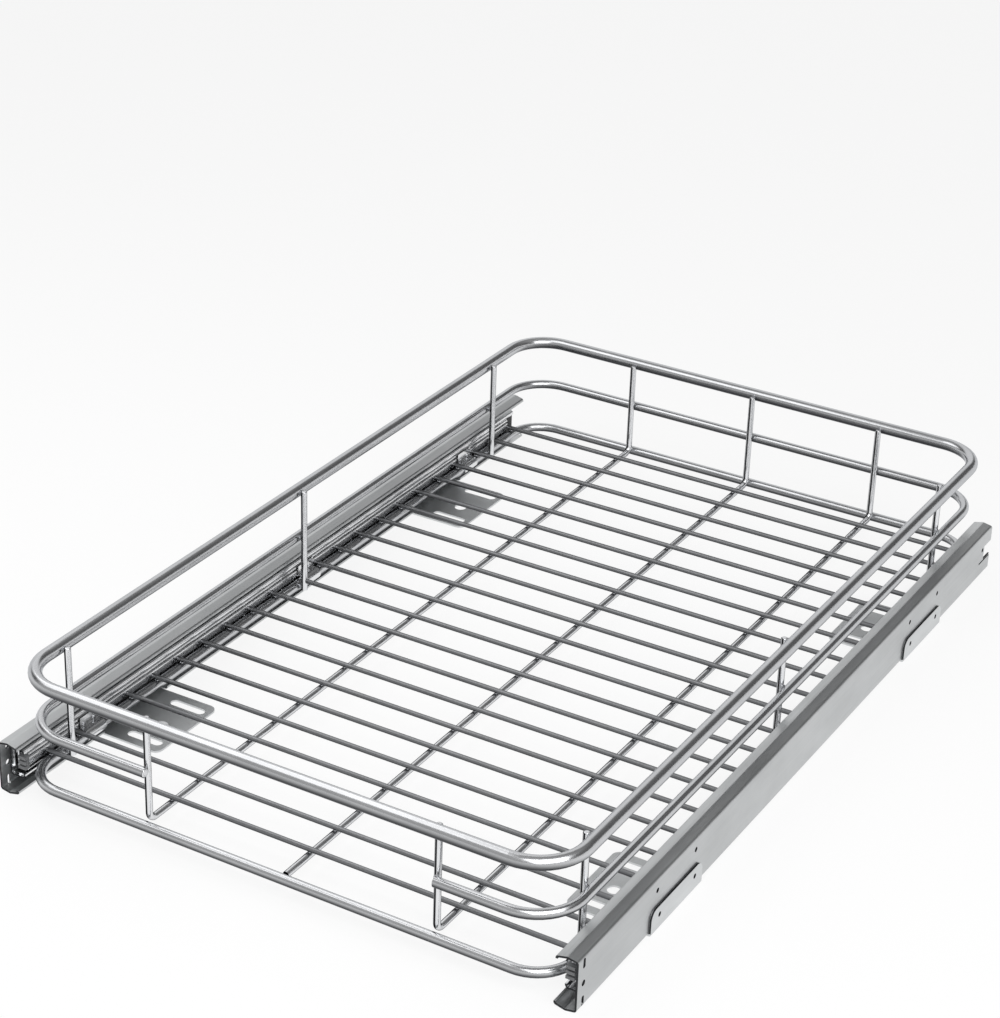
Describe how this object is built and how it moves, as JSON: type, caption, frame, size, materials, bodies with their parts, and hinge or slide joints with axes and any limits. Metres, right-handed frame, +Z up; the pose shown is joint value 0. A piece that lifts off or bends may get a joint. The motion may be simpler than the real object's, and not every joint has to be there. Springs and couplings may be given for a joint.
{
  "type": "pull-out cabinet shelf",
  "caption": "Pull-out cabinet shelf: a welded wire basket that rolls out on full-extension ball slides, in sheet housings with feet that screw to the cabinet floor.",
  "frame": {"origin": "bottom centre of the bounding box, on the cabinet floor", "axes": "+X to the right, +Y to the back of the cabinet, +Z up; the basket pulls out along -Y"},
  "size_m": [0.3704, 0.572, 0.0817],
  "materials": {
    "chromed_wire": "bright chromed welded wire",
    "housing_zinc": "satin zinc-plated bent sheet",
    "bracket_zinc": "satin zinc-plated bent sheet",
    "slide_zinc": "bright zinc-plated rolled sheet",
    "cage_steel": "pressed sheet, thin oil film",
    "ball_steel": "polished bearing balls",
    "bumper_plastic": "moulded acetal",
    "clip_steel": "stamped plated sheet",
    "rivet_steel": "set rivet heads"
  },
  "bodies": {
    "frame": {"left_rail_housing": "housing_zinc", "left_front_foot_bracket": "bracket_zinc", "left_rear_foot_bracket": "bracket_zinc", "left_outer_slide_member": "slide_zinc", "left_rear_bumper": "bumper_plastic", "right_rail_housing": "housing_zinc", "right_front_foot_bracket": "bracket_zinc", "right_rear_foot_bracket": "bracket_zinc", "right_outer_slide_member": "slide_zinc", "right_rear_bumper": "bumper_plastic"},
    "basket": {"bottom_rail": "chromed_wire", "centre_support_wire": "chromed_wire", "floor_wires": "chromed_wire", "left_clip_rivets": "rivet_steel", "left_front_cap": "bumper_plastic", "left_inner_slide_member": "slide_zinc", "left_rail_clips": "clip_steel", "left_side_posts": "chromed_wire", "left_support_wire": "chromed_wire", "middle_rail": "chromed_wire", "right_clip_rivets": "rivet_steel", "right_front_cap": "bumper_plastic", "right_inner_slide_member": "slide_zinc", "right_rail_clips": "clip_steel", "right_side_posts": "chromed_wire", "right_support_wire": "chromed_wire", "top_rail": "chromed_wire"},
    "left_middle": {"left_middle_slide_member": "slide_zinc"},
    "left_outer_cage": {"left_outer_ball_cage": "cage_steel", "left_outer_balls": "ball_steel"},
    "left_inner_cage": {"left_inner_ball_cage": "cage_steel", "left_inner_balls": "ball_steel"},
    "right_middle": {"right_middle_slide_member": "slide_zinc"},
    "right_outer_cage": {"right_outer_ball_cage": "cage_steel", "right_outer_balls": "ball_steel"},
    "right_inner_cage": {"right_inner_ball_cage": "cage_steel", "right_inner_balls": "ball_steel"}
  },
  "joints": [
    {"name": "basket_slide", "type": "slide", "parent": "frame", "child": "basket", "axis": [0, -1, 0], "range_m": [0, 0.508]},
    {"name": "left_middle_slide", "type": "slide", "parent": "frame", "child": "left_middle", "axis": [0, -1, 0], "range_m": [0, 0.254]},
    {"name": "left_outer_cage_slide", "type": "slide", "parent": "frame", "child": "left_outer_cage", "axis": [0, -1, 0], "range_m": [0, 0.127]},
    {"name": "left_inner_cage_slide", "type": "slide", "parent": "frame", "child": "left_inner_cage", "axis": [0, -1, 0], "range_m": [0, 0.381]},
    {"name": "right_middle_slide", "type": "slide", "parent": "frame", "child": "right_middle", "axis": [0, -1, 0], "range_m": [0, 0.254]},
    {"name": "right_outer_cage_slide", "type": "slide", "parent": "frame", "child": "right_outer_cage", "axis": [0, -1, 0], "range_m": [0, 0.127]},
    {"name": "right_inner_cage_slide", "type": "slide", "parent": "frame", "child": "right_inner_cage", "axis": [0, -1, 0], "range_m": [0, 0.381]}
  ],
  "couplings": [
    {"joint": "left_middle_slide", "follows": "basket_slide", "ratio": 0.5},
    {"joint": "left_outer_cage_slide", "follows": "basket_slide", "ratio": 0.25},
    {"joint": "left_inner_cage_slide", "follows": "basket_slide", "ratio": 0.75},
    {"joint": "right_middle_slide", "follows": "basket_slide", "ratio": 0.5},
    {"joint": "right_outer_cage_slide", "follows": "basket_slide", "ratio": 0.25},
    {"joint": "right_inner_cage_slide", "follows": "basket_slide", "ratio": 0.75}
  ]
}
